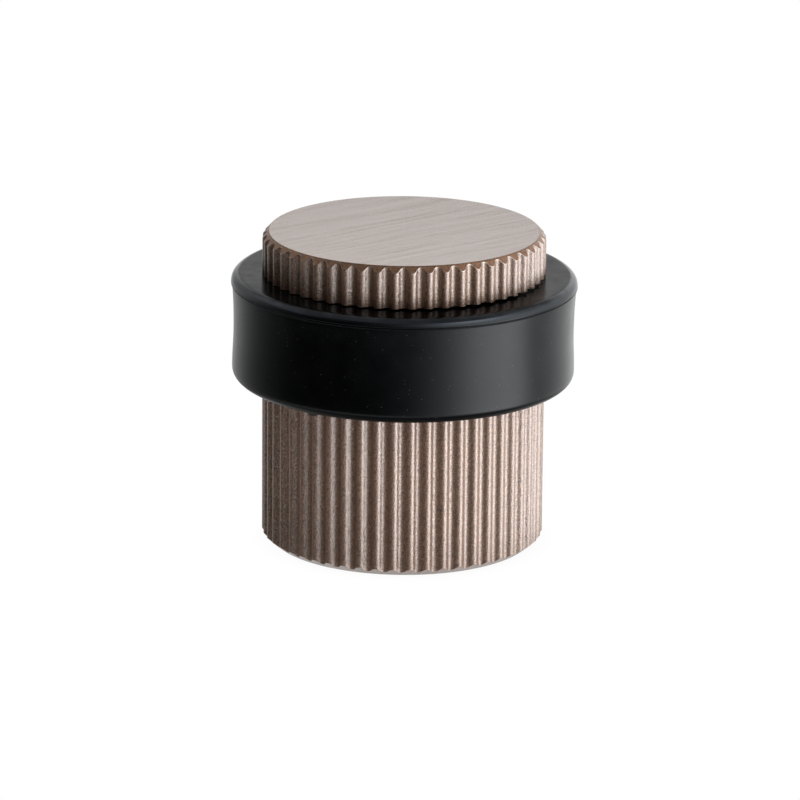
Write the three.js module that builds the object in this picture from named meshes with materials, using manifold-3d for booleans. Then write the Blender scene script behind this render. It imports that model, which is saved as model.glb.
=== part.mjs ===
// Floor-fixed door buffer: a fluted round metal body with a rubber ring in its neck groove,
// screwed onto a double-ended bolt that is held in the floor by a nylon plug.
// Millimetres, +Z up, -Y front. Shapes are drawn from the floor plane, z = 0. The finished group
// is lifted by FIXING_DEPTH, so that the origin is on the axis at the nose of the floor plug.

import * as THREE from "three";
import { mergeVertices } from "three/addons/utils/BufferGeometryUtils.js";
import Module from "manifold-3d";

// ---- driving dimensions ----

// fluted body
const BODY_R = 18.0; // over the flute crests
const BODY_H = 40.4;
const FLUTES = 52;
const FLUTE_DEPTH = 0.44;
const CREST_AZIMUTH = 3.0; // degrees from the front (-Y) towards +X, of one crest's centre
const TOP_CHAMFER = { radial: 0.8, axial: 0.82 };
const FOOT_CHAMFER = { radial: 1.2, axial: 1.0 };

// groove for the ring
const NECK_R = 14.5;
const GROOVE_LOW = 20.95;
const GROOVE_HIGH = 34.97;

// underside, dished so that the body bears on its rim
const RELIEF_R = 12.0;
const RELIEF_DEPTH = 0.6;

// M8 x 1.25 thread
const PITCH = 1.25;
const THREAD_MAJOR_R = 3.98;
const THREAD_ROOT_R = 3.23;
const THREAD_CLEARANCE = 0.15; // radial, internal thread over external thread

// tapped hole, depths from the floor plane
const TAP_DEPTH = 15.0; // full thread
const TAP_RUNOUT = { radial: 0.3, axial: 0.8 }; // taper at the thread's inner end
const DRILL_R = THREAD_ROOT_R + THREAD_CLEARANCE + 0.08;
const DRILL_DEPTH = 16.4;
const DRILL_CONE = 1.9; // height of the cone above the hole
const LEAD_IN = { r: 4.6, low: 0.05, high: 1.2 }; // heights above the relief

// rubber ring
const RING_BORE_R = 14.65;
const RING_LOW = 21.1;
const RING_HIGH = 34.82;
const RING_R = 21.8; // at the top of the foot round
const RING_LIP_R = 22.03;
const RING_FOOT_ROUND = { radial: 1.7, axial: 1.375 };
const RING_SHOULDER = { radial: 1.2, axial: 1.15 };

// double-ended bolt
const BOLT_TOP = 13.0;
const BOLT_TIP = -31.0;
const BOLT_TIP_R = 0.35;
const MACHINE_THREAD_LOW = -2.4;
const MACHINE_LOW_CHAMFER = { r: 3.1, axial: 1.2 }; // r at the end face
const MACHINE_TOP_CHAMFER = { r: 2.9, axial: 1.3 };
const SHANK_R = 3.55;
const WOOD_THREAD_HIGH = -4.6;
const WOOD_PITCH = 3.0;
const WOOD_MAJOR_R = 3.9;
const WOOD_ROOT_R = 2.75;
const BOLT_TRIM_R = 4.3; // clear of both threads
const ROOT_INSET = 0.1; // ends of the shank and the wood thread lie this far inside the roots

// floor plug
const FIXING_DEPTH = 34.0; // the floor plane is this far above the plug's nose
const PLUG_LOW = -FIXING_DEPTH;
const PLUG_TOP = -0.15;
const PLUG_R = 5.0;
const PLUG_COLLAR_R = 6.4;
const PLUG_BORE_R = 4.1;
const PLUG_MOUTH_R = PLUG_BORE_R + 0.5;
const PLUG_RIDGES = { first: PLUG_LOW + 4, below: -13, step: 3, valleyR: 4.5 };
const PLAIN_WALL_LOW = -11.0;
const PLUG_SLOT = 1.3; // width
const PLUG_SLOT_TOP = -11.0;
const PLUG_NOSE = 1.0; // height left unslotted

// segments to a turn
const RING_SEGMENTS = 64;
const RELIEF_SEGMENTS = 48;
const FINE_SEGMENTS = 24; // holes, bolt and plug
const THREAD_SEGMENTS = 16;
const ROUND_STEPS = 4; // steps in a quarter round

// ---- helpers ----

const wasm = await Module();
wasm.setup();

// closed three.js geometry -> solid
function solid(geometry) {
  geometry.deleteAttribute("normal");
  geometry.deleteAttribute("uv");
  const merged = mergeVertices(geometry, 1e-4);
  return new wasm.Manifold(
    new wasm.Mesh({
      numProp: 3,
      vertProperties: merged.attributes.position.array,
      triVerts: new Uint32Array(merged.index.array),
    }),
  );
}

function solidFromFaces(positions, faces) {
  const geometry = new THREE.BufferGeometry();
  geometry.setAttribute("position", new THREE.Float32BufferAttribute(positions, 3));
  geometry.setIndex(faces);
  return solid(geometry);
}

// solid -> geometry with flat normals
function geometryOf(made) {
  const { vertProperties, triVerts } = made.getMesh();
  const geometry = new THREE.BufferGeometry();
  geometry.setAttribute("position", new THREE.BufferAttribute(vertProperties, 3));
  geometry.setIndex(new THREE.BufferAttribute(triVerts, 1));
  const flat = geometry.toNonIndexed();
  flat.computeVertexNormals();
  return flat;
}

// A solid of revolution about Z from [radius, height] pairs that climb on its outside.
function turned(profile, segments = FINE_SEGMENTS) {
  const points = profile.map(([radius, height]) => new THREE.Vector2(radius, height));
  const geometry = new THREE.LatheGeometry(points, segments);
  geometry.rotateX(Math.PI / 2); // lathe axis Y -> Z
  return solid(geometry);
}

const cylinder = (radius, low, high, segments) =>
  turned([[0, low], [radius, low], [radius, high], [0, high]], segments);

// two triangles from four corners, anticlockwise seen from outside
const quad = (a, b, c, d) => [a, b, c, a, c, d];

// A round bar with a one-start helical thread. shape lists [share of the pitch, radius] over one
// pitch. Both ends close on the axis beyond low and high, and are trimmed afterwards.
function threadedBar(pitch, shape, low, high) {
  const count = THREAD_SEGMENTS;
  const stations = shape.length;
  const turns = Math.ceil((high - low) / pitch) + 2;
  // whole pitches, so that every thread made here is in phase
  const start = Math.floor(low / pitch) * pitch - pitch;
  const lastRow = turns * stations;

  const positions = [];
  for (let j = 0; j <= lastRow + stations; j++) {
    const [share, radius] = shape[j % stations];
    const z = start + pitch * (Math.floor(j / stations) + share);
    for (let i = 0; i < count; i++) {
      const angle = (2 * Math.PI * i) / count;
      positions.push(radius * Math.cos(angle), radius * Math.sin(angle), z + (pitch * i) / count);
    }
  }

  // one turn on from column 0 of a row is column 0 of the row one pitch higher
  const at = (i, j) => (i === count ? (j + stations) * count : j * count + i);
  const faces = [];
  for (let j = 0; j < lastRow; j++)
    for (let i = 0; i < count; i++)
      faces.push(...quad(at(i, j), at(i + 1, j), at(i + 1, j + 1), at(i, j + 1)));

  // an end's rim runs once round its row, then down the step of one pitch
  const rim = (j) => {
    const loop = [];
    for (let i = 0; i < count; i++) loop.push(at(i, j));
    for (let step = stations; step > 0; step--) loop.push(at(0, j + step));
    return loop;
  };
  const lowTip = positions.length / 3;
  const highTip = lowTip + 1;
  positions.push(0, 0, start - pitch);
  positions.push(0, 0, start + pitch * (turns + 2));
  const bottom = rim(0);
  const top = rim(lastRow);
  bottom.forEach((v, i) => faces.push(lowTip, bottom[(i + 1) % bottom.length], v));
  top.forEach((v, i) => faces.push(highTip, v, top[(i + 1) % top.length]));
  return solidFromFaces(positions, faces);
}

// ISO metric profile: root flat P/4, crest flat P/8
const metric = (clearance) => [
  [0.0, THREAD_ROOT_R + clearance],
  [0.25, THREAD_ROOT_R + clearance],
  [0.5625, THREAD_MAJOR_R + clearance],
  [0.6875, THREAD_MAJOR_R + clearance],
];

// ---- fluted body ----

// [share of the flute spacing from the crest's centre, radius]
const FLUTE_SHAPE = [
  [-0.35, BODY_R - FLUTE_DEPTH],
  [-0.15, BODY_R],
  [0.15, BODY_R],
  [0.35, BODY_R - FLUTE_DEPTH],
];

// [angle, radius] of each column of the wall: two on each crest and two in each hollow
function fluteColumns() {
  const crest = THREE.MathUtils.degToRad(CREST_AZIMUTH - 90);
  const columns = [];
  for (let flute = 0; flute < FLUTES; flute++)
    for (const [share, radius] of FLUTE_SHAPE)
      columns.push([crest + ((flute + share) * 2 * Math.PI) / FLUTES, radius]);
  return columns;
}

// A turning with a fluted wall: each row gives a column's [radius, height] from its flute radius.
function flutedTurning(rows, low, high) {
  const columns = fluteColumns();
  const count = columns.length;
  const positions = [];
  for (const row of rows)
    for (const [angle, fluteR] of columns) {
      const [radius, z] = row(fluteR);
      positions.push(radius * Math.cos(angle), radius * Math.sin(angle), z);
    }

  const faces = [];
  for (let j = 0; j < rows.length - 1; j++)
    for (let i = 0; i < count; i++) {
      const here = j * count + i;
      const next = j * count + ((i + 1) % count);
      faces.push(...quad(here, next, next + count, here + count));
    }

  const lowCentre = positions.length / 3;
  const highCentre = lowCentre + 1;
  positions.push(0, 0, low, 0, 0, high);
  const lastRow = (rows.length - 1) * count;
  for (let i = 0; i < count; i++) {
    const next = (i + 1) % count;
    faces.push(lowCentre, next, i);
    faces.push(highCentre, lastRow + i, lastRow + next);
  }
  return solidFromFaces(positions, faces);
}

// The chamfer cones meet each column at its own height, so the hollows end in arches.
function flutedBlank() {
  const footR = BODY_R - FOOT_CHAMFER.radial;
  const topR = BODY_R - TOP_CHAMFER.radial;
  const footSlope = FOOT_CHAMFER.axial / FOOT_CHAMFER.radial;
  const topSlope = TOP_CHAMFER.axial / TOP_CHAMFER.radial;
  const rows = [
    () => [footR, 0],
    (r) => [r, (r - footR) * footSlope],
    (r) => [r, GROOVE_LOW],
    () => [NECK_R, GROOVE_LOW],
    () => [NECK_R, GROOVE_HIGH],
    (r) => [r, GROOVE_HIGH],
    (r) => [r, BODY_H - (r - topR) * topSlope],
    () => [topR, BODY_H],
  ];
  return flutedTurning(rows, 0, BODY_H);
}

// drilled hole with its lead-in and cone
const drilledHole = () =>
  turned([
    [0, 0],
    [LEAD_IN.r, 0],
    [LEAD_IN.r, RELIEF_DEPTH + LEAD_IN.low],
    [DRILL_R, RELIEF_DEPTH + LEAD_IN.high],
    [DRILL_R, DRILL_DEPTH],
    [0, DRILL_DEPTH + DRILL_CONE],
  ]);

// thread cut into the hole's wall, running out at its inner end
function tappedThread() {
  const trim = turned([
    [0, -0.5],
    [6, -0.5],
    [6, TAP_DEPTH - TAP_RUNOUT.axial],
    [DRILL_R - TAP_RUNOUT.radial, TAP_DEPTH],
    [0, TAP_DEPTH],
  ]);
  return threadedBar(PITCH, metric(THREAD_CLEARANCE), -1, TAP_DEPTH).intersect(trim);
}

function stopBody() {
  const relief = cylinder(RELIEF_R, -1, RELIEF_DEPTH, RELIEF_SEGMENTS);
  return flutedBlank().subtract(relief).subtract(drilledHole()).subtract(tappedThread());
}

// ---- rubber ring ----

// [radius, height]: slightly hollow wall between the foot round and the lip
const RING_WALL = [
  [RING_R, 23.6],
  [21.66, 26.6],
  [21.66, 29.0],
  [RING_R, 31.8],
  [RING_LIP_R, 33.65],
];

function bufferRing() {
  const angles = [];
  for (let i = 0; i <= ROUND_STEPS; i++) angles.push((i / ROUND_STEPS) * (Math.PI / 2));
  const footRound = angles.map((angle) => [
    RING_R - RING_FOOT_ROUND.radial * (1 - Math.sin(angle)),
    RING_LOW + RING_FOOT_ROUND.axial * (1 - Math.cos(angle)),
  ]);
  // the wall's last point stands in for the shoulder's first
  const shoulder = angles.slice(1).map((angle) => [
    RING_LIP_R - RING_SHOULDER.radial * (1 - Math.cos(angle)),
    RING_HIGH - RING_SHOULDER.axial * (1 - Math.sin(angle)),
  ]);
  const profile = [
    [RING_BORE_R, RING_LOW],
    ...footRound,
    ...RING_WALL,
    ...shoulder,
    [RING_BORE_R, RING_HIGH],
    [RING_BORE_R, RING_LOW],
  ];
  return turned(profile, RING_SEGMENTS);
}

// ---- double-ended bolt ----

function machineEnd() {
  const trim = turned([
    [0, MACHINE_THREAD_LOW],
    [MACHINE_LOW_CHAMFER.r, MACHINE_THREAD_LOW],
    [BOLT_TRIM_R, MACHINE_THREAD_LOW + MACHINE_LOW_CHAMFER.axial],
    [BOLT_TRIM_R, BOLT_TOP - MACHINE_TOP_CHAMFER.axial],
    [MACHINE_TOP_CHAMFER.r, BOLT_TOP],
    [0, BOLT_TOP],
  ]);
  return threadedBar(PITCH, metric(0), MACHINE_THREAD_LOW, BOLT_TOP).intersect(trim);
}

// plain shank, its tapered ends running into both threads
const shank = () =>
  turned([
    [0, WOOD_THREAD_HIGH - 1.5],
    [WOOD_ROOT_R - ROOT_INSET, WOOD_THREAD_HIGH - 1.5],
    [SHANK_R, WOOD_THREAD_HIGH + 0.2],
    [SHANK_R, MACHINE_THREAD_LOW - 0.2],
    [THREAD_ROOT_R - ROOT_INSET, MACHINE_THREAD_LOW + 0.6],
    [0, MACHINE_THREAD_LOW + 0.6],
  ]);

function woodEnd() {
  const shape = [
    [0.0, WOOD_ROOT_R],
    [0.56, WOOD_ROOT_R],
    [0.78, WOOD_MAJOR_R],
  ];
  const trim = turned([
    [0, BOLT_TIP],
    [BOLT_TIP_R, BOLT_TIP],
    [WOOD_ROOT_R, BOLT_TIP + 5.5],
    [BOLT_TRIM_R, BOLT_TIP + 9.5],
    [BOLT_TRIM_R, WOOD_THREAD_HIGH - 1.2],
    [WOOD_ROOT_R - ROOT_INSET, WOOD_THREAD_HIGH],
    [0, WOOD_THREAD_HIGH],
  ]);
  return threadedBar(WOOD_PITCH, shape, BOLT_TIP, WOOD_THREAD_HIGH).intersect(trim);
}

const hangerBolt = () => machineEnd().add(shank()).add(woodEnd());

// ---- floor plug ----

// tapered nose, ridged lower wall, plain upper wall and collar
function plugOuter() {
  const { first, below, step, valleyR } = PLUG_RIDGES;
  const profile = [
    [0, PLUG_LOW],
    [3.4, PLUG_LOW],
    [valleyR, PLUG_LOW + 2.0],
  ];
  for (let z = first; z < below; z += step)
    profile.push([valleyR, z], [PLUG_R, z + 0.05], [PLUG_R, z + 1.2]);
  profile.push(
    [PLUG_R, PLAIN_WALL_LOW],
    [PLUG_R, PLUG_TOP - 2.2],
    [PLUG_COLLAR_R, PLUG_TOP - 0.8],
    [PLUG_COLLAR_R, PLUG_TOP],
    [0, PLUG_TOP],
  );
  return turned(profile);
}

// bore, narrowing towards the nose and flared at the mouth
const plugBore = () =>
  turned([
    [0, PLUG_LOW + 1.2],
    [1.2, PLUG_LOW + 1.2],
    [3.2, PLUG_LOW + 3.4],
    [PLUG_BORE_R, PLUG_LOW + 7.0],
    [PLUG_BORE_R, PLUG_TOP - 0.6],
    [PLUG_MOUTH_R, PLUG_TOP + 0.2],
    [PLUG_MOUTH_R, PLUG_TOP + 1],
    [0, PLUG_TOP + 1],
  ]);

function plugSlot(turn) {
  const low = PLUG_LOW - 2; // past the nose
  const geometry = new THREE.BoxGeometry(20, PLUG_SLOT, PLUG_SLOT_TOP - low);
  geometry.translate(0, 0, (PLUG_SLOT_TOP + low) / 2);
  geometry.rotateZ(turn);
  return solid(geometry);
}

function floorPlug() {
  // the crossing slots stop short of the solid nose, so that the four legs stay one piece
  const noseKeep = cylinder(20, PLUG_LOW - 3, PLUG_LOW + PLUG_NOSE);
  const slots = plugSlot(0).add(plugSlot(Math.PI / 2)).subtract(noseKeep);
  return plugOuter().subtract(plugBore()).subtract(slots);
}

// ---- scene graph ----

const material = (color, roughness, metalness) =>
  new THREE.MeshStandardMaterial({ color, roughness, metalness });

// colour, roughness, metalness
const bronze = material(0x8a6f61, 0.34, 1.0);
const rubber = material(0x17181a, 0.5, 0.0);
const zinc = material(0xb8bcc0, 0.35, 1.0);
const nylon = material(0x9a9d9f, 0.6, 0.0);

function piece(name, made, finish) {
  const mesh = new THREE.Mesh(geometryOf(made), finish);
  mesh.name = name;
  return mesh;
}

const floorFixing = new THREE.Group();
floorFixing.add(
  piece("hanger_bolt", hangerBolt(), zinc),
  piece("floor_plug", floorPlug(), nylon),
);

const stop = new THREE.Group();
stop.add(
  piece("stop_body", stopBody(), bronze),
  piece("buffer_ring", bufferRing(), rubber),
);

const group = new THREE.Group();
group.add(floorFixing, stop);
group.position.z = FIXING_DEPTH;

export default group;
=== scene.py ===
"""A floor door stop: a fluted bronze body with a rubber buffer ring in its groove, held down by a
double-ended bolt in a nylon floor plug. It stands upright on the Z axis; its front faces -Y and
+X is to the right as seen from the front."""
import math

import bpy
import numpy as np
from mathutils import Matrix, Vector


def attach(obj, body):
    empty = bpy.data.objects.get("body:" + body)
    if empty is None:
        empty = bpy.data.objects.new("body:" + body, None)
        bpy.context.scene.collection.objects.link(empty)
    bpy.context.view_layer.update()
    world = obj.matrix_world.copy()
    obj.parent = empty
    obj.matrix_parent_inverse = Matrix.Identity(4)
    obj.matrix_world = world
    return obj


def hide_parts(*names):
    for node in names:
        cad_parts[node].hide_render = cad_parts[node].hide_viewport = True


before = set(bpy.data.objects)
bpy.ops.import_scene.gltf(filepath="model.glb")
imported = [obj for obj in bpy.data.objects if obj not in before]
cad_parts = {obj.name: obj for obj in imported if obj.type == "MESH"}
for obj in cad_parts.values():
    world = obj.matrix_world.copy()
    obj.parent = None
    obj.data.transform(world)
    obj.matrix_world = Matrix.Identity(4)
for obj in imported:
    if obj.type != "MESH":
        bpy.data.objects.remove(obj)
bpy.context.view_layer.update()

# Lengths are millimetres, and heights are measured from the floor plane, which is FLOOR above
# the frame's own origin.
MM = 0.001
FLOOR = 34.0
TAU = 2 * math.pi

# ---- mesh helpers ---------------------------------------------------------------------------

ARC_STEPS = 3  # segments in each rounded corner
SUPPORT = 0.03  # length of flat held beside each rounding
ROWS_PER_CORNER = ARC_STEPS + 3  # the arc's rows and a support row on either side


def follow(table, x):
    """The second column of table at x, straight between the stations of the first."""
    return np.interp(x, *np.array(table).T)


def level_row(radius, z, columns):
    """One row of [radius, height] pairs; either may be a number or one value per column."""
    return np.stack([np.broadcast_to(value, (columns,)) for value in (radius, z)], -1)


def eased(corners, roundings):
    """Rounds every inner corner of a profile. corners is (corner, column, [radius, height]).
    A support row on the flat at either side keeps smooth shading on the rounding."""
    rows = [corners[0]]
    for k in range(1, len(corners) - 1):
        corner = corners[k]
        back, ahead = corners[k - 1] - corner, corners[k + 1] - corner
        back_length = np.linalg.norm(back, axis=1, keepdims=True)
        ahead_length = np.linalg.norm(ahead, axis=1, keepdims=True)
        back, ahead = back / back_length, ahead / ahead_length
        shorter = np.minimum(back_length, ahead_length)
        cosine = np.clip((back * ahead).sum(1, keepdims=True), -0.999999, 0.999999)
        half_angle = np.arccos(cosine) / 2
        setback = np.minimum(roundings[k] / np.tan(half_angle), 0.42 * shorter)
        support = np.minimum(SUPPORT, 0.05 * shorter)
        start, end = corner + back * setback, corner + ahead * setback
        rows.append(corner + back * (setback + support))
        for i in range(ARC_STEPS + 1):
            f = i / ARC_STEPS
            rows.append((1 - f) ** 2 * start + 2 * f * (1 - f) * corner + f * f * end)
        rows.append(corner + ahead * (setback + support))
    rows.append(corners[-1])
    return np.array(rows)


def spin(rows, angles):
    """Points of a (row, column, [radius, height]) grid, with its columns at the given angles."""
    radius, z = rows[:, :, 0], rows[:, :, 1]
    return np.stack([radius * np.cos(angles), radius * np.sin(angles), z], -1).reshape(-1, 3)


def quads(rows, columns, wrap=False):
    """Faces between neighbouring rows of a spun grid; wrap also joins the last row to the first."""
    here = np.arange(columns)
    beside = (here + 1) % columns
    low = columns * np.arange(rows if wrap else rows - 1)[:, None]
    high = (low + columns) % (rows * columns)
    return np.stack([low + here, low + beside, high + beside, high + here], -1).reshape(-1, 4)


def mesh_object(name, points, faces, face_materials=None):
    """A smooth-shaded object from points in millimetres above the floor plane."""
    points = (points + np.array([0.0, 0.0, FLOOR])) * MM
    mesh = bpy.data.meshes.new(name)
    mesh.from_pydata(points.tolist(), [], faces)
    mesh.polygons.foreach_set("use_smooth", [True] * len(mesh.polygons))
    if face_materials:
        mesh.polygons.foreach_set("material_index", face_materials)
    mesh.update()
    mesh.validate()
    made = bpy.data.objects.new(name, mesh)
    bpy.context.scene.collection.objects.link(made)
    return made


def closed_skin(name, rows, angles, row_materials=None):
    """A spun grid closed at either end by a fan to a point on the axis."""
    count, columns = rows.shape[:2]
    tips = [[0.0, 0.0, rows[end, :, 1].mean()] for end in (0, -1)]
    low_tip = count * columns
    high_tip, last = low_tip + 1, low_tip - columns
    faces = quads(count, columns).tolist()
    faces += [[low_tip, (k + 1) % columns, k] for k in range(columns)]
    faces += [[high_tip, last + k, last + (k + 1) % columns] for k in range(columns)]
    face_materials = None
    if row_materials:
        fans = [0] * columns + [count - 2] * columns
        face_rows = np.concatenate([np.repeat(np.arange(count - 1), columns), fans])
        face_materials = np.array(row_materials)[face_rows].tolist()
    return mesh_object(name, np.concatenate([spin(rows, angles), tips]), faces, face_materials)


# ---- node helpers ---------------------------------------------------------------------------


class Net:
    """A shader node tree. Inputs may be sockets, numbers or colours."""

    def __init__(self, tree):
        self.tree = tree
        tree.nodes.clear()

    def feed(self, socket, value):
        if isinstance(value, bpy.types.NodeSocket):
            self.tree.links.new(value, socket)
        elif socket.type == "RGBA":
            socket.default_value = colour(value)
        else:
            socket.default_value = value

    def add(self, kind, inputs=None, **settings):
        node = self.tree.nodes.new(kind)
        for key, value in settings.items():
            setattr(node, key, value)
        for key, value in (inputs or {}).items():
            self.feed(node.inputs[key], value)
        return node

    def value(self, kind, inputs=None, **settings):
        """Adds a node and returns its first output."""
        return self.add(kind, inputs, **settings).outputs[0]

    def math(self, operation, *values):
        return self.value("ShaderNodeMath", dict(enumerate(values)), operation=operation)

    def plus(self, first, second):
        return self.math("ADD", first, second)

    def times(self, first, second):
        return self.math("MULTIPLY", first, second)

    def weighted(self, *parts):
        """Sum of (value, weight) pairs."""
        terms = [self.times(value, weight) for value, weight in parts]
        total = terms.pop()
        while terms:
            total = self.plus(terms.pop(), total)
        return total

    def ramp(self, factor, stops):
        node = self.add("ShaderNodeValToRGB", {"Fac": factor})
        elements = node.color_ramp.elements
        while len(elements) > 1:
            elements.remove(elements[-1])
        elements[0].position = stops[0][0]
        elements[0].color = colour(stops[0][1])
        for position, level in stops[1:]:
            elements.new(position).color = colour(level)
        return node.outputs[0]

    def range(self, value, span, to=(0.0, 1.0), smooth=False):
        """Carries value from span over to the range `to`, clamped."""
        inputs = dict(zip(("From Min", "From Max", "To Min", "To Max"), (*span, *to)))
        kind = "SMOOTHSTEP" if smooth else "LINEAR"
        inputs["Value"] = value
        return self.value("ShaderNodeMapRange", inputs, clamp=True, interpolation_type=kind)

    def mix(self, share, base, over):
        inputs = {0: share, 6: base, 7: over}
        return self.add("ShaderNodeMix", inputs, data_type="RGBA").outputs[2]

    def noise(self, vector, scale, detail=2.0, roughness=0.5):
        inputs = {"Scale": scale, "Detail": detail, "Roughness": roughness, "Vector": vector}
        return self.value("ShaderNodeTexNoise", inputs)

    def bump(self, height, strength, distance):
        inputs = {"Strength": strength, "Distance": distance, "Height": height}
        return self.value("ShaderNodeBump", inputs)

    def split(self, vector):
        return self.add("ShaderNodeSeparateXYZ", {0: vector}).outputs

    def geometry(self, output):
        return self.add("ShaderNodeNewGeometry").outputs[output]

    def millimetres(self):
        """Object coordinates in millimetres."""
        place = self.add("ShaderNodeTexCoord").outputs["Object"]
        return self.value("ShaderNodeVectorMath", {0: place, "Scale": 1000.0}, operation="SCALE")

    def mapped(self, vector, scale=(1, 1, 1), turn=(0, 0, 0)):
        inputs = {"Scale": scale, "Rotation": turn, "Vector": vector}
        return self.value("ShaderNodeMapping", inputs)

    def surface(self, shader, output="ShaderNodeOutputMaterial"):
        self.add(output, {"Surface": shader})

    def principled(self, **inputs):
        """The surface shader; base_color=... feeds "Base Color", and so on."""
        names = {key: key.replace("_", " ").title().replace("Ior", "IOR") for key in inputs}
        node = self.add("ShaderNodeBsdfPrincipled", {names[key]: inputs[key] for key in inputs})
        self.surface(node.outputs[0])
        return node

    def lacquered(self, coat_ior, normal, coat_weight=1.0, **inputs):
        """The surface under a hard clear layer, which gives a pale sheen over the brown."""
        node = self.principled(
            coat_ior=coat_ior, normal=normal, coat_normal=normal, coat_weight=1.0, **inputs
        )
        self.feed(node.inputs["Coat Weight"], coat_weight)


def colour(value):
    return (*value, 1.0) if isinstance(value, tuple) else (value, value, value, 1.0)


def material(name):
    made = bpy.data.materials.new(name)
    made.use_nodes = True
    return made, Net(made.node_tree)


# ---- materials ------------------------------------------------------------------------------

BRONZE = (0.335, 0.192, 0.124)
# painted shade: the dull brown that the steep flanks and the foot of the cap are darkened towards
PAINTED_SHADE_BROWN = (0.03, 0.014, 0.008)
FRONT_TO_BACK = (-18.0, 18.0)  # the body's reach in Y


def bronze(strength):
    return tuple(strength * channel for channel in BRONZE)


def bronze_satin():
    """Plated and fine-blasted: a fine grain with a few brighter specks."""
    made, net = material("bronze_satin")
    place = net.millimetres()
    grain = net.noise(place, scale=4.4, roughness=0.6)
    coarse = net.noise(place, scale=0.55)
    speck = net.noise(place, scale=6.0, detail=1.0)
    tone = net.mix(net.range(grain, span=(0.32, 0.68)), base=bronze(0.40), over=bronze(1.6))
    tone = net.mix(net.range(coarse, span=(0.3, 0.7), to=(0.0, 0.35)), tone, over=bronze(0.9))
    # painted shade: the steep flanks between the crests and hollows are darkened towards a dull brown,
    # standing in for the shade that falls into them
    flat_place = net.mapped(place, scale=(1, 1, 0))
    outward = net.value("ShaderNodeVectorMath", {0: flat_place}, operation="NORMALIZE")
    facing = net.add(
        "ShaderNodeVectorMath", {0: outward, 1: net.geometry("Normal")}, operation="DOT_PRODUCT"
    ).outputs["Value"]
    flank_painted_shade = net.range(facing, span=(0.55, 0.76), to=(0.75, 0.0), smooth=True)
    tone = net.mix(flank_painted_shade, tone, PAINTED_SHADE_BROWN)
    # painted shade: the foot of the cap, next to the rubber ring, is darkened towards a dull brown and
    # its coat is weakened there
    z = net.split(place)[2]
    ring_painted_shade = net.times(
        net.range(z, span=(FLOOR + 35.0, FLOOR + 36.7), to=(0.5, 0.0), smooth=True),
        net.range(z, span=(FLOOR + 34.0, FLOOR + 34.5)),
    )
    relief = net.weighted((grain, 0.8), (speck, 0.5))
    net.lacquered(
        base_color=net.mix(ring_painted_shade, tone, PAINTED_SHADE_BROWN),
        metallic=0.45,
        roughness=net.range(grain, span=(0.25, 0.75), to=(0.40, 0.50)),
        specular_ior_level=0.2,
        coat_ior=2.6,
        # painted shade: less coat at the foot of the cap, next to the ring
        coat_weight=net.math("SUBTRACT", 1.0, ring_painted_shade),
        coat_roughness=net.range(speck, span=(0.3, 0.7), to=(0.08, 0.14)),
        normal=net.bump(relief, strength=1.0, distance=0.07 * MM),
    )
    return made


def bronze_brushed():
    """The flat top, brushed one way, 38 degrees from +X towards the back."""
    made, net = material("bronze_brushed")
    place = net.millimetres()
    turned = net.mapped(place, turn=(0, 0, math.radians(-38)))
    wide = net.noise(net.mapped(turned, scale=(0.045, 1.6, 1.0)), 1.0, detail=3.0, roughness=0.6)
    fine = net.noise(net.mapped(turned, scale=(0.16, 6.5, 1.0)), 1.0, roughness=0.55)
    hair = net.noise(net.mapped(turned, scale=(0.5, 16.0, 1.0)), 1.0)
    cloud = net.noise(place, scale=0.09)
    streak = net.weighted((wide, 0.45), (fine, 0.35), (hair, 0.2))
    tone = net.mix(
        net.range(streak, span=(0.36, 0.64)), base=(0.225, 0.138, 0.096), over=(0.365, 0.226, 0.156)
    )
    clouding = net.range(cloud, span=(0.35, 0.65), to=(0.0, 0.25))
    tone = net.mix(clouding, tone, over=(0.28, 0.16, 0.105))
    # painted shade: the top is a little darker and browner towards the back, where the light falls
    # off, and its coat is weaker there
    y = net.split(place)[1]
    back_painted_shade = net.range(y, span=FRONT_TO_BACK, to=(0.0, 0.45))
    net.lacquered(
        base_color=net.mix(back_painted_shade, tone, over=(0.165, 0.092, 0.057)),
        metallic=1.0,
        roughness=net.range(streak, span=(0.3, 0.7), to=(0.30, 0.44)),
        coat_ior=1.8,
        # painted shade: the coat weakens towards the back
        coat_weight=net.range(y, span=FRONT_TO_BACK, to=(1.0, 0.78)),
        coat_roughness=net.range(streak, span=(0.40, 0.60), to=(0.07, 0.31)),
        normal=net.bump(streak, strength=1.0, distance=0.03 * MM),
    )
    return made


def bronze_turned():
    """The top chamfer, as it came off the lathe: fine rings, browner than the blasted wall."""
    made, net = material("bronze_turned")
    place = net.millimetres()
    rings = net.value(
        "ShaderNodeTexNoise",
        {"Scale": 14.0, "Detail": 2.0, "W": net.split(place)[2]},
        noise_dimensions="1D",
    )
    patch = net.noise(place, scale=1.1, detail=3.0, roughness=0.6)
    grain = net.noise(place, scale=3.8, detail=3.0, roughness=0.6)
    relief = net.weighted((rings, 0.25), (patch, 0.2), (grain, 0.55))
    shade = net.range(relief, span=(0.38, 0.62))
    net.lacquered(
        base_color=net.mix(shade, base=(0.19, 0.098, 0.056), over=(0.50, 0.275, 0.165)),
        metallic=1.0,
        roughness=net.range(relief, span=(0.35, 0.65), to=(0.36, 0.46)),
        coat_ior=1.8,
        coat_weight=0.35,
        coat_roughness=net.range(grain, span=(0.3, 0.7), to=(0.14, 0.24)),
        normal=net.bump(relief, strength=1.0, distance=0.05 * MM),
    )
    return made


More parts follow.
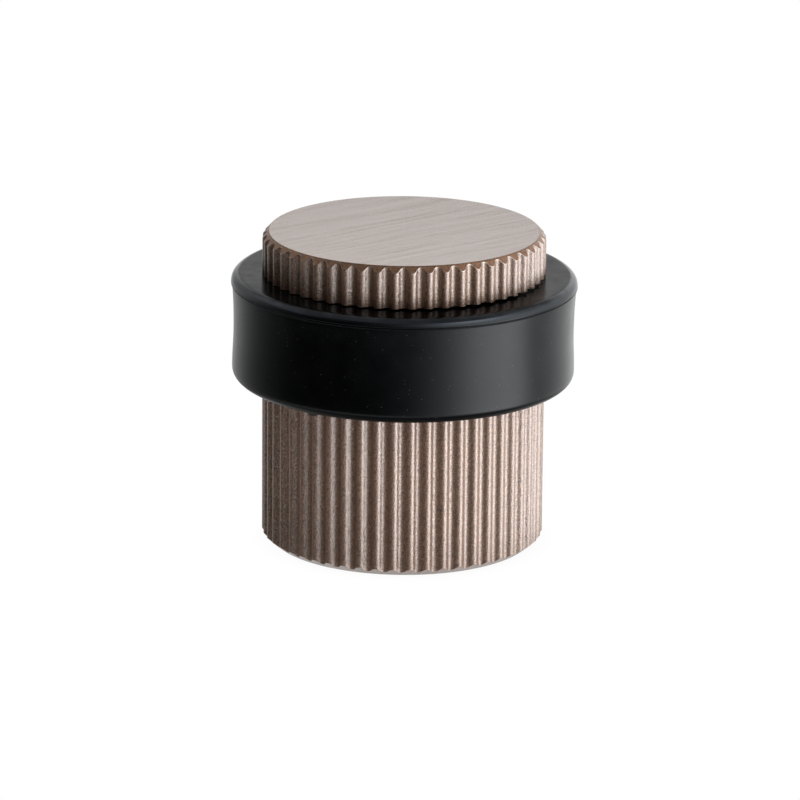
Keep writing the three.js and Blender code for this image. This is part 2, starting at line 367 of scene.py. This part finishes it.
def bronze_edge():
    """The cap's rounded edges, burnished paler by handling."""
    made, net = material("bronze_edge")
    grain = net.noise(net.millimetres(), scale=2.5, detail=3.0, roughness=0.6)
    shade = net.range(grain, span=(0.3, 0.7))
    net.principled(
        base_color=net.mix(shade, base=(0.52, 0.45, 0.40), over=(0.76, 0.70, 0.65)),
        metallic=1.0,
        roughness=net.range(grain, span=(0.3, 0.7), to=(0.30, 0.22)),
        normal=net.bump(grain, strength=0.4, distance=0.02 * MM),
    )
    return made


def specks(net, place, scale, radius):
    """1 inside small scattered dots, 0 elsewhere."""
    cells = net.value("ShaderNodeTexVoronoi", {"Scale": scale, "Vector": place}, feature="F1")
    return net.math("LESS_THAN", cells, radius)


def black_rubber():
    """Moulded rubber: satin, a very fine grain, faint flow clouds and a little dust."""
    made, net = material("black_rubber")
    place = net.millimetres()
    grain = net.noise(place, scale=7.0, detail=3.0, roughness=0.6)
    cloud = net.noise(place, scale=0.35, detail=3.0, roughness=0.55)
    dust = specks(net, place, scale=1.3, radius=0.065)
    fleck = specks(net, place, scale=2.1, radius=0.075)
    tone = net.mix(
        net.range(cloud, span=(0.3, 0.7)), base=(0.0006, 0.0007, 0.0008), over=(0.0018, 0.0019, 0.0022)
    )
    tone = net.mix(net.times(fleck, 0.25), tone, over=(0.04, 0.042, 0.045))
    tone = net.mix(net.times(dust, 0.8), tone, over=(0.10, 0.10, 0.10))

    # the lip is glossier than the wall and the flat top
    upward = net.split(net.geometry("Normal"))[2]
    lip = net.times(
        net.range(upward, span=(0.12, 0.35), smooth=True),
        net.range(upward, span=(0.98, 0.90), smooth=True),
    )
    polish = net.times(lip, -0.09)
    rough = net.plus(
        net.range(grain, span=(0.3, 0.7), to=(0.19, 0.25)),
        net.range(cloud, span=(0.3, 0.7), to=(-0.02, 0.03)),
    )
    # the flat top and the foot are duller
    level = net.times(
        net.range(upward, span=(0.95, 0.995), to=(1.0, 0.12), smooth=True),
        net.range(upward, span=(-0.35, -0.05), to=(0.08, 1.0), smooth=True),
    )
    level = net.times(level, net.math("MULTIPLY_ADD", lip, 1.0, 1.0))
    mottle = net.times(
        net.range(upward, span=(0.5, 0.9)), net.range(cloud, span=(0.35, 0.65), to=(-0.3, 0.5))
    )
    level = net.times(level, net.plus(mottle, 1.0))
    net.principled(
        base_color=tone,
        ior=1.43,
        roughness=net.plus(rough, polish),
        specular_tint=net.mix(lip, base=(0.90, 0.95, 1.0), over=(0.76, 0.86, 1.0)),
        specular_ior_level=net.times(level, 0.5),
        normal=net.bump(grain, strength=0.25, distance=0.012 * MM),
    )
    return made


def zinc_steel():
    """Zinc-plated steel, clouded between greenish and neutral."""
    made, net = material("zinc_steel")
    place = net.millimetres()
    cloud = net.noise(place, scale=0.5, detail=3.0, roughness=0.6)
    grain = net.noise(place, scale=4.0, roughness=0.6)
    clouding = net.range(cloud, span=(0.3, 0.7))
    tone = net.mix(clouding, base=(0.52, 0.62, 0.57), over=(0.66, 0.67, 0.68))
    spots = net.range(grain, span=(0.6, 0.8), to=(0.0, 0.3))
    net.principled(
        base_color=net.mix(spots, tone, over=(0.42, 0.42, 0.42)),
        metallic=1.0,
        roughness=net.range(grain, span=(0.3, 0.7), to=(0.26, 0.4)),
        normal=net.bump(grain, strength=0.2, distance=0.02 * MM),
    )
    return made


def grey_nylon():
    """Plain grey nylon, faintly clouded."""
    made, net = material("grey_nylon")
    place = net.millimetres()
    cloud = net.noise(place, scale=0.25)
    grain = net.noise(place, scale=3.0, roughness=0.6)
    clouding = net.range(cloud, span=(0.3, 0.7))
    net.principled(
        base_color=net.mix(clouding, base=(0.27, 0.28, 0.285), over=(0.33, 0.335, 0.34)),
        roughness=net.range(grain, span=(0.3, 0.7), to=(0.42, 0.55)),
        ior=1.43,
        normal=net.bump(grain, strength=0.2, distance=0.03 * MM),
    )
    return made


BODY_FINISHES = [bronze_satin(), bronze_brushed(), bronze_edge(), bronze_turned()]
SATIN, BRUSHED, EDGE, TURNED = range(4)  # the body's material slots
RUBBER, ZINC, NYLON = black_rubber(), zinc_steel(), grey_nylon()

# ---- fluted body ----------------------------------------------------------------------------

BODY_R, BODY_H = 18.0, 40.4
FLUTES, FLUTE_DEPTH, COLUMNS_PER_FLUTE = 52, 0.62, 18
CREST_AZIMUTH = 3.29  # degrees from the front towards +X
TOP_INSET, TOP_DROP = 0.8, 0.82  # top chamfer
FOOT_INSET, FOOT_RISE = 1.2, 1.0  # foot chamfer
TOP_R, FOOT_R = BODY_R - TOP_INSET, BODY_R - FOOT_INSET
GROOVE_LOW, GROOVE_HIGH, NECK_R = 20.95, 34.97, 14.5  # the groove that holds the ring
BORE_R, RECESS_R, RECESS_H = 4.2, 12.0, 0.6  # the blind bore and the shallow recess under it
AXIS_R = 0.4  # innermost row, closed by a fan

# [pitches from a crest's centre, slope]: the steep flank is at 0.25, a hollow's centre at 0.5
FLUTE_SLOPE = [
    (0.0, 0.0), (0.04, 0.18), (0.08, 0.36), (0.125, 0.57), (0.167, 0.84), (0.208, 1.20),
    (0.235, 1.50), (0.265, 1.58), (0.29, 1.40), (0.33, 1.0), (0.375, 0.62), (0.417, 0.36),
    (0.46, 0.16), (0.5, 0.0),
]


def flute_drop(offset):
    """Depth under the crest circle at an offset in pitches from a crest's centre."""
    stations = np.linspace(0.0, 0.5, 1001)
    slope = follow(FLUTE_SLOPE, stations)
    steps = (slope[1:] + slope[:-1]) / 2 * np.diff(stations)
    drop = np.concatenate([[0.0], np.cumsum(steps)])
    drop *= FLUTE_DEPTH / drop[-1]
    return np.interp(np.abs(offset), stations, drop)


def body_finish(row):
    """Material slot of the faces above a row."""

    def arc_start(corner):
        return 2 + (corner - 1) * ROWS_PER_CORNER

    # corners of the body profile: the cap's lower edge, its upper edge and the rim of the top
    low_edge, high_edge, top_rim = arc_start(12), arc_start(13), arc_start(14)
    if any(edge <= row < edge + ARC_STEPS for edge in (low_edge, high_edge)):
        return EDGE
    if row < high_edge:
        return SATIN
    return TURNED if row < top_rim + ARC_STEPS else BRUSHED


def fluted_body():
    columns = FLUTES * COLUMNS_PER_FLUTE
    column = np.arange(columns)
    offset = (column % COLUMNS_PER_FLUTE) / COLUMNS_PER_FLUTE - 0.5
    flute_angle = (column // COLUMNS_PER_FLUTE + offset) * TAU / FLUTES
    angles = math.radians(CREST_AZIMUTH - 90) + flute_angle
    wall = BODY_R - flute_drop(offset)
    foot_top = (wall - FOOT_R) * FOOT_RISE / FOOT_INSET
    chamfer_low = BODY_H - (wall - TOP_R) * TOP_DROP / TOP_INSET
    # [radius, height, rounding], from the bore's roof down, out and up to the middle of the top
    profile = [
        (AXIS_R, 18.1, 0),
        (3.9, 16.0, 0.1),
        (BORE_R, 15.6, 0.1),
        (BORE_R, 1.1, 0.05),
        (4.75, RECESS_H, 0.05),
        (RECESS_R, RECESS_H, 0.1),
        (RECESS_R, 0.0, 0.08),
        (FOOT_R, 0.0, 0.06),
        (wall, foot_top, 0.10),
        (wall, GROOVE_LOW, 0.12),
        (NECK_R, GROOVE_LOW, 0.2),
        (NECK_R, GROOVE_HIGH, 0.2),
        (wall, GROOVE_HIGH, 0.07),
        (wall, chamfer_low, 0.13),
        (TOP_R, BODY_H, 0.15),
        (13.0, BODY_H, 0.01),
        (8.0, BODY_H, 0.01),
        (3.0, BODY_H, 0.01),
        (AXIS_R, BODY_H, 0),
    ]
    corners = np.array([level_row(radius, z, columns) for radius, z, _ in profile])
    rows = eased(corners, [rounding for _, _, rounding in profile])
    finishes = [body_finish(row) for row in range(len(rows))]
    body = closed_skin("stop_body_shell", rows, angles, finishes)
    for finish in BODY_FINISHES:
        body.data.materials.append(finish)
    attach(body, "body")
    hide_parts("stop_body")


fluted_body()

# ---- rubber ring ----------------------------------------------------------------------------

RING_LOW, RING_HIGH, RING_BORE = 21.1, 34.82, 14.65
RING_BEVEL = 0.25
RING_TILT = math.radians(0.45)  # it sits a little out of square in its groove
RING_COLUMNS = 384
FOOT_ROUND_R, FOOT_ROUND_IN, FOOT_ROUND_UP = 21.8, 1.7, 1.375  # outer radius, width, height
LIP_ROUND_R, LIP_ROUND_IN, LIP_ROUND_DOWN = 22.01, 1.2, 1.12

# [radius, height] of the slightly hollow outer wall
RING_WALL = [
    (21.80, 23.0), (21.775, 24.0), (21.73, 25.0), (21.685, 26.0), (21.655, 27.0),
    (21.65, 28.0), (21.66, 29.0), (21.68, 30.0), (21.715, 31.0), (21.77, 32.0),
    (21.83, 32.8), (21.855, 33.2), (21.86, 33.4),
]
# [radius, height] of the parting line: the lip's mould half stands a little proud, with a fine
# flash and a crease over it
PARTING_LINE = [
    (21.865, 33.46), (21.885, 33.48), (21.99, 33.495), (22.01, 33.51), (22.015, 33.545),
    (21.99, 33.565), (21.895, 33.58), (21.885, 33.60), (21.89, 33.665), (21.98, 33.68),
    (22.005, 33.70),
]
# [amplitude, lobes round the ring, phase] of the moulding's wander
RING_WANDER = [(0.0108, 2, 0.7), (0.0072, 5, 1.9), (0.0036, 11, 0.4)]


def ring_profile():
    """Closed outline of [radius, height], from the bore's upper end down, out and back over."""
    outline = [
        (RING_BORE, RING_HIGH - RING_BEVEL),
        (RING_BORE, RING_LOW + RING_BEVEL),
        (RING_BORE + RING_BEVEL, RING_LOW),
        (18.4, RING_LOW),
    ]
    for i in range(11):
        turn = i / 10 * math.pi / 2
        radius = FOOT_ROUND_R - FOOT_ROUND_IN * (1 - math.sin(turn))
        outline.append((radius, RING_LOW + FOOT_ROUND_UP * (1 - math.cos(turn))))
    outline += RING_WALL + PARTING_LINE
    for i in range(1, 13):
        turn = i / 12 * math.pi / 2
        radius = LIP_ROUND_R - LIP_ROUND_IN * (1 - math.cos(turn))
        outline.append((radius, RING_HIGH - LIP_ROUND_DOWN * (1 - math.sin(turn))))
    outline += [(radius, RING_HIGH) for radius in (20.3, 18.4, RING_BORE + RING_BEVEL)]
    return np.array(outline)


def buffer_ring():
    angles = np.arange(RING_COLUMNS) * TAU / RING_COLUMNS
    profile = ring_profile()
    radius, z = profile.T
    rows = np.repeat(profile[:, None, :], RING_COLUMNS, axis=1)
    # the wall and lip wander by a hundredth or two
    outer = np.clip((radius - 19.0) / 2.5, 0, 1)[:, None]
    rows[:, :, 0] += outer * sum(
        size * np.sin(lobes * angles + phase) for size, lobes, phase in RING_WANDER
    )
    # a small flash left at the lower edge, to the left of the front
    azimuth = (np.degrees(angles) + 90.0 + 180) % 360 - 180
    lump = np.exp(-(((azimuth + 33.5) / 2.3) ** 4))
    under = np.exp(-(((radius - 20.35) / 0.28) ** 2) - ((z - RING_LOW) / 0.3) ** 2)[:, None]
    rows[:, :, 1] -= 0.32 * lump * under

    # tilted about Y, lower on the right
    middle = (RING_LOW + RING_HIGH) / 2
    x, y, z = spin(rows, angles).T
    rise = z - middle
    cosine, sine = math.cos(RING_TILT), math.sin(RING_TILT)
    points = np.stack([x * cosine + rise * sine, y, middle + rise * cosine - x * sine], -1)
    faces = quads(len(rows), RING_COLUMNS, wrap=True).tolist()
    ring = mesh_object("rubber_ring", points, faces)
    ring.data.materials.append(RUBBER)
    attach(ring, "ring")
    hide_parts("buffer_ring")


buffer_ring()

# ---- double-ended bolt ----------------------------------------------------------------------

BOLT_COLUMNS = 72
METRIC_PITCH, WOOD_PITCH = 1.25, 3.0
# [share of the pitch, radius]
METRIC_THREAD = [(0.0, 3.23), (0.25, 3.23), (0.5625, 3.98), (0.6875, 3.98)]
WOOD_THREAD = [(0.0, 2.75), (0.56, 2.75), (0.76, 3.86), (0.80, 3.86)]
# [height, radius]: the thread is cut off outside its envelope and filled inside its core
WOOD_ENVELOPE = [(-31.0, 0.12), (-30.5, 0.55), (-25.5, 2.75), (-21.5, 4.3), (-5.9, 4.3), (-4.7, 2.75)]
WOOD_CORE = [(-31.0, 0.1), (-25.5, 2.75)]
METRIC_ENVELOPE = [(-2.4, 3.1), (-1.2, 4.3), (11.9, 4.3), (13.0, 3.0)]
# [height, radius] of the plain collar between the threads, and of the flat upper end
COLLAR = [
    (-4.5, 2.75), (-4.42, 3.5), (-4.35, 3.55), (-4.3, 3.55), (-2.75, 3.55), (-2.7, 3.55),
    (-2.6, 3.5), (-2.5, 3.3),
]
UPPER_END = [(13.0, 2.96), (13.0, 2.8), (13.0, 2.0), (13.0, 0.3)]


def thread_rows(heights, angles, pitch, shape, envelope, core=((0.0, 0.0),)):
    """Rows of a right-hand thread."""
    shares, radii = np.array(shape).T
    rows = []
    for z in heights:
        radius = np.interp(z / pitch - angles / TAU, shares, radii, period=1.0)
        radius = np.maximum(np.minimum(radius, follow(envelope, z)), follow(core, z))
        rows.append(level_row(radius, z, BOLT_COLUMNS))
    return rows


def plain_rows(stations):
    return [level_row(radius, z, BOLT_COLUMNS) for z, radius in stations]


def hanger_bolt():
    """From the point of the wood screw half up to the end of the metric half."""
    angles = np.arange(BOLT_COLUMNS) * TAU / BOLT_COLUMNS
    heights = np.arange(-31.0, -4.6, 0.1)
    rows = thread_rows(heights, angles, WOOD_PITCH, WOOD_THREAD, WOOD_ENVELOPE, WOOD_CORE)
    rows += plain_rows(COLLAR)
    heights = np.arange(-2.4, 13.0, METRIC_PITCH / 20)
    rows += thread_rows(heights, angles, METRIC_PITCH, METRIC_THREAD, METRIC_ENVELOPE)
    rows += plain_rows(UPPER_END)
    bolt = closed_skin("double_ended_bolt", np.array(rows), angles)
    bolt.data.materials.append(ZINC)
    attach(bolt, "floor_fixing")
    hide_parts("hanger_bolt")


hanger_bolt()

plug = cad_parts["floor_plug"]
plug.data.materials.clear()
plug.data.materials.append(NYLON)

# ---- light: a studio surround, brightest to the right and dark to the left front ------------

# [azimuth in degrees from the front towards +X, radiance] round the horizon, just above it, and high
LOW = [
    (-180, 0.92), (-170, 0.68), (-160, 0.60), (-140, 0.45), (-120, 0.25), (-100, 0.11),
    (-80, 0.03), (-60, 0.010), (-40, 0.012), (-20, 0.04), (0, 0.14), (10, 0.25), (20, 0.51),
    (30, 1.0), (40, 1.8), (50, 2.75), (60, 3.25), (75, 3.45), (86, 2.7), (95, 1.05),
    (104, 0.78), (115, 0.84), (130, 0.95), (150, 1.05), (165, 1.0), (180, 0.92),
]
MID = [
    (-180, 1.12), (-172, 0.85), (-162, 0.5), (-152, 0.38), (-130, 0.45), (-110, 0.25),
    (-90, 0.10), (-60, 0.03), (-30, 0.03), (-10, 0.12), (0, 0.23), (10, 0.43), (20, 0.75),
    (30, 1.1), (40, 1.3), (50, 1.4), (75, 1.4), (88, 1.3), (97, 1.1), (108, 0.95),
    (130, 0.85), (150, 0.90), (165, 1.0), (180, 1.12),
]
HIGH = [
    (-180, 0.10), (-160, 0.14), (-145, 0.4), (-120, 0.50), (-90, 0.34), (-60, 0.12),
    (-30, 0.05), (0, 0.2), (15, 0.4), (28, 0.9), (40, 1.8), (53, 2.4), (64, 2.3), (80, 1.4),
    (92, 1.1), (105, 0.85), (120, 0.7), (135, 0.45), (160, 0.18), (180, 0.10),
]
TOP, FLOOR_GLOW, UNDER_GLOW = 0.28, 1.35, 1.05  # radiance overhead, and from the floor below
FULL = 5.0  # radiance of a node value of 1
WHITE = (1, 1, 1)


def azimuth_share(net, x, y):
    """0 to 1 round the horizon, 0.5 at the front."""
    return net.math("MULTIPLY_ADD", net.math("ARCTAN2", x, net.times(y, -1.0)), 1 / TAU, 0.5)


def elevation(net, z):
    """Degrees above the horizon of a unit direction with height z."""
    return net.times(net.math("ARCSINE", z), 180 / math.pi)


def table(net, share, stops):
    return net.ramp(share, [((azimuth + 180) / 360, level / FULL) for azimuth, level in stops])


def floor_light(net, level, angle, sign):
    """Turns level to the floor's glow as sign * angle grows, in degrees under the horizon."""
    for start, end, glow in ((27.0, 44.0, FLOOR_GLOW), (50.0, 70.0, UNDER_GLOW)):
        share = net.range(angle, span=(sign * start, sign * end), smooth=True)
        level = net.mix(share, level, glow / FULL)
    return level


def shine(net, kind, shade, strength=1.0):
    return net.value(kind, {"Color": shade, "Strength": strength})


def split_by_ray(net, kind, cast, seen, output):
    """Shows seen to the camera and casts another light on everything else."""
    camera_ray = net.add("ShaderNodeLightPath").outputs["Is Camera Ray"]
    inputs = {0: camera_ray, 1: shine(net, kind, cast, FULL), 2: shine(net, kind, seen)}
    net.surface(net.value("ShaderNodeMixShader", inputs), output)


def surround():
    world = bpy.data.worlds.new("studio")
    bpy.context.scene.world = world
    world.use_nodes = True
    net = Net(world.node_tree)
    x, y, z = net.split(net.add("ShaderNodeTexCoord").outputs["Generated"])
    share = azimuth_share(net, x, y)
    height = elevation(net, z)
    level = table(net, share, LOW)
    for span, upper in (
        ((-10.0, 6.0), table(net, share, MID)),
        ((23.0, 37.0), table(net, share, HIGH)),
        ((44.0, 55.0), TOP / FULL),
    ):
        level = net.mix(net.range(height, span, smooth=True), level, upper)
    level = floor_light(net, level, height, sign=-1)
    split_by_ray(net, "ShaderNodeBackground", level, WHITE, "ShaderNodeOutputWorld")


surround()
bpy.context.scene.view_settings.view_transform = "Standard"
bpy.context.scene.view_settings.look = "None"

# ---- floor: a pale sweep, with the hole for the plug ----------------------------------------

FLOOR_COLUMNS = 128
FLOOR_SINK = 0.004  # keeps the floor clear of the body's foot
HOLE_R, NEAR_R = 6.6, 62.0
# [radius, height]
NEAR_ROWS = [
    (HOLE_R, -40.0), (HOLE_R, -0.25), (6.75, -0.05), (6.9, 0.0), (9.0, 0.0), (14.0, 0.0),
    (30.0, 0.0), (NEAR_R, 0.0),
]
FAR_ROWS = [(NEAR_R, 0.0), (300.0, 0.0), (3000.0, 0.0), (40000.0, 0.0)]


def floor_mesh(name, stations):
    angles = np.arange(FLOOR_COLUMNS) * TAU / FLOOR_COLUMNS
    rows = np.array([level_row(radius, z - FLOOR_SINK, FLOOR_COLUMNS) for radius, z in stations])
    # the rows run outwards, so the faces are wound the other way to face up
    faces = quads(len(rows), FLOOR_COLUMNS)[:, [1, 0, 3, 2]].tolist()
    made = mesh_object(name, spin(rows, angles), faces)
    return made


def floor_near():
    near = floor_mesh("floor_near", NEAR_ROWS)
    pale, net = material("pale_floor_near")
    # painted shadow: the floor shows the camera its own white glow, with a faint contact shadow
    # painted in round the foot of the stop
    painted_contact_shadow = net.add("ShaderNodeAmbientOcclusion", {"Distance": 2.5 * MM}, samples=8)
    seen = net.mix(painted_contact_shadow.outputs["AO"], base=(0.955, 0.952, 0.95), over=WHITE)
    # to other rays it is as bright as the surround behind it
    x, y, z = net.split(net.geometry("Incoming"))
    share = azimuth_share(net, net.times(x, -1.0), net.times(y, -1.0))
    level = floor_light(net, table(net, share, LOW), elevation(net, z), sign=1)
    # shaded under the ring's overhang
    x, y, _ = net.split(net.millimetres())
    squares = net.plus(net.math("POWER", x, 2.0), net.math("POWER", y, 2.0))
    from_axis = net.math("POWER", squares, 0.5)
    shaded = net.range(from_axis, span=(18.0, 32.0), to=(0.4, 0.0), smooth=True)
    level = net.mix(shaded, level, over=0.02)
    split_by_ray(net, "ShaderNodeEmission", level, seen, "ShaderNodeOutputMaterial")
    near.data.materials.append(pale)


def floor_far():
    """Seen by the camera only."""
    far = floor_mesh("floor_far", FAR_ROWS)
    pale, net = material("pale_floor_far")
    net.surface(shine(net, "ShaderNodeEmission", WHITE))
    far.data.materials.append(pale)
    far.visible_glossy = False
    far.visible_diffuse = False
    far.visible_shadow = False
    far.visible_transmission = False


floor_near()
floor_far()

# ---- camera ---------------------------------------------------------------------------------

CAMERA_DISTANCE = 711.199
CAMERA_ELEVATION, CAMERA_ROLL = math.radians(16.688), math.radians(0.504)
CAMERA_TARGET = Vector((-0.380, 0, 17.949 + FLOOR))
LENS, SENSOR_WIDTH = 250.39116, 36.0


def camera():
    """In front of the stop and above it, looking back and down."""
    back = Vector((0, -math.cos(CAMERA_ELEVATION), math.sin(CAMERA_ELEVATION)))
    right = Vector((1, 0, 0))
    up = back.cross(right)
    cosine, sine = math.cos(CAMERA_ROLL), math.sin(CAMERA_ROLL)
    pose = Matrix((right * cosine + up * sine, up * cosine - right * sine, back))
    pose = pose.transposed().to_4x4()
    pose.translation = (CAMERA_TARGET + back * CAMERA_DISTANCE) * MM
    data = bpy.data.cameras.new("camera")
    data.sensor_width = SENSOR_WIDTH
    data.lens = LENS
    data.clip_start, data.clip_end = 0.01, 100.0
    made = bpy.data.objects.new("camera", data)
    bpy.context.scene.collection.objects.link(made)
    made.matrix_world = pose
    bpy.context.scene.camera = made


camera()
